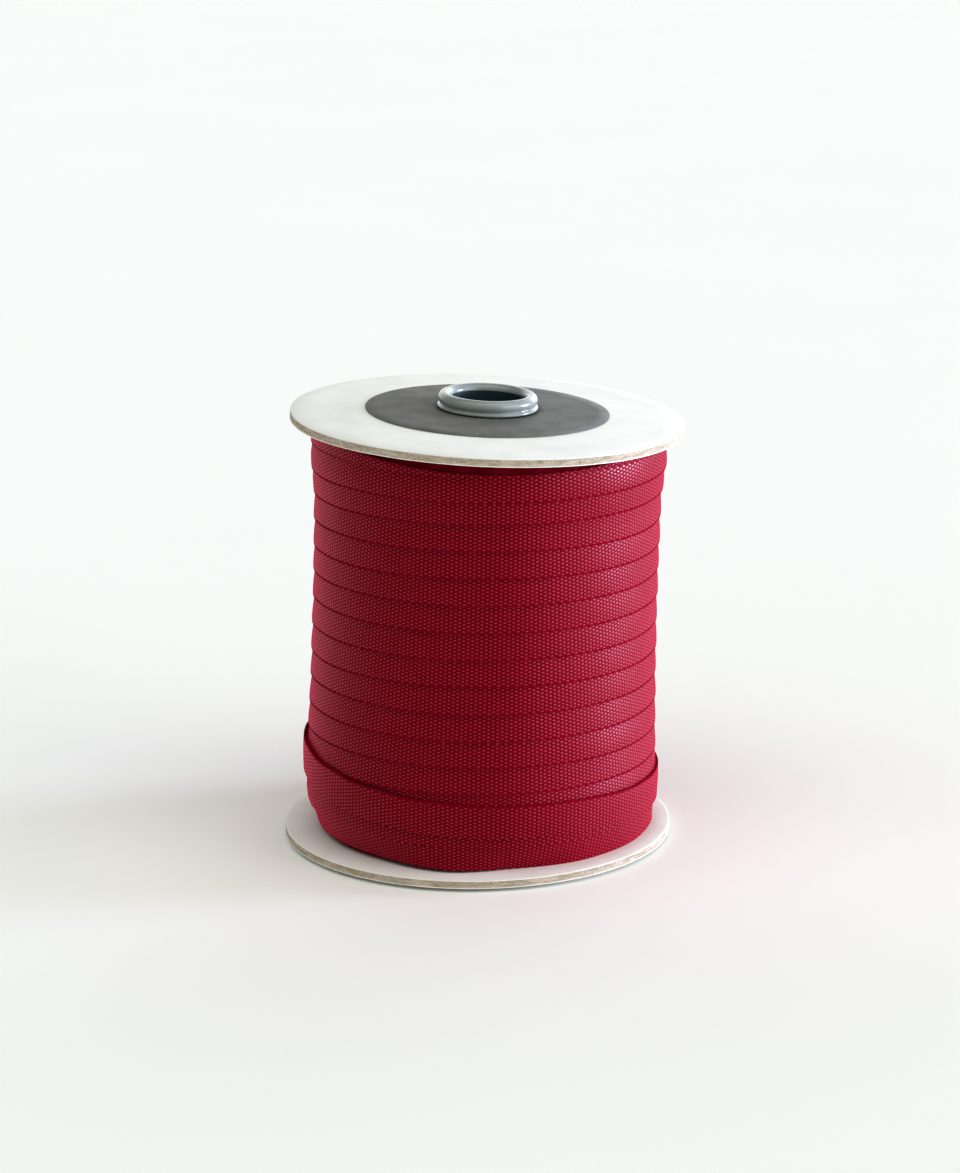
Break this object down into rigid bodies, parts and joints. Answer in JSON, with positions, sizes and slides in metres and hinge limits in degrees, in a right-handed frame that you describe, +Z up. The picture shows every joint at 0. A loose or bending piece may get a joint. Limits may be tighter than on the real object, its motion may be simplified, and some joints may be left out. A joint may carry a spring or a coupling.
{
  "type": "roll of cotton ribbon",
  "caption": "Spool of narrow plain-weave cotton ribbon, wound in overlapping turns between two board discs on a plastic tube with a rolled collar.",
  "frame": {"origin": "on the surface the spool stands on, under the middle of its outer box", "axes": "+Z up along the spool, -Y towards the side the picture shows, +X to that side's right, the way the tube leans"},
  "size_m": [0.0792, 0.0762, 0.0889],
  "materials": {
    "ribbon": "crimson plain-weave cotton, matt with a soft sheen at grazing angles",
    "board": "greyboard faced with white paper, its cut edge bare",
    "label": "dark grey uncoated paper",
    "tube": "grey-blue moulded plastic"
  },
  "bodies": {
    "root": {"core_tube": "tube", "disc_lower": "board", "disc_upper": "board", "label_ring": "label", "ribbon_roll": "ribbon"}
  },
  "joints": []
}
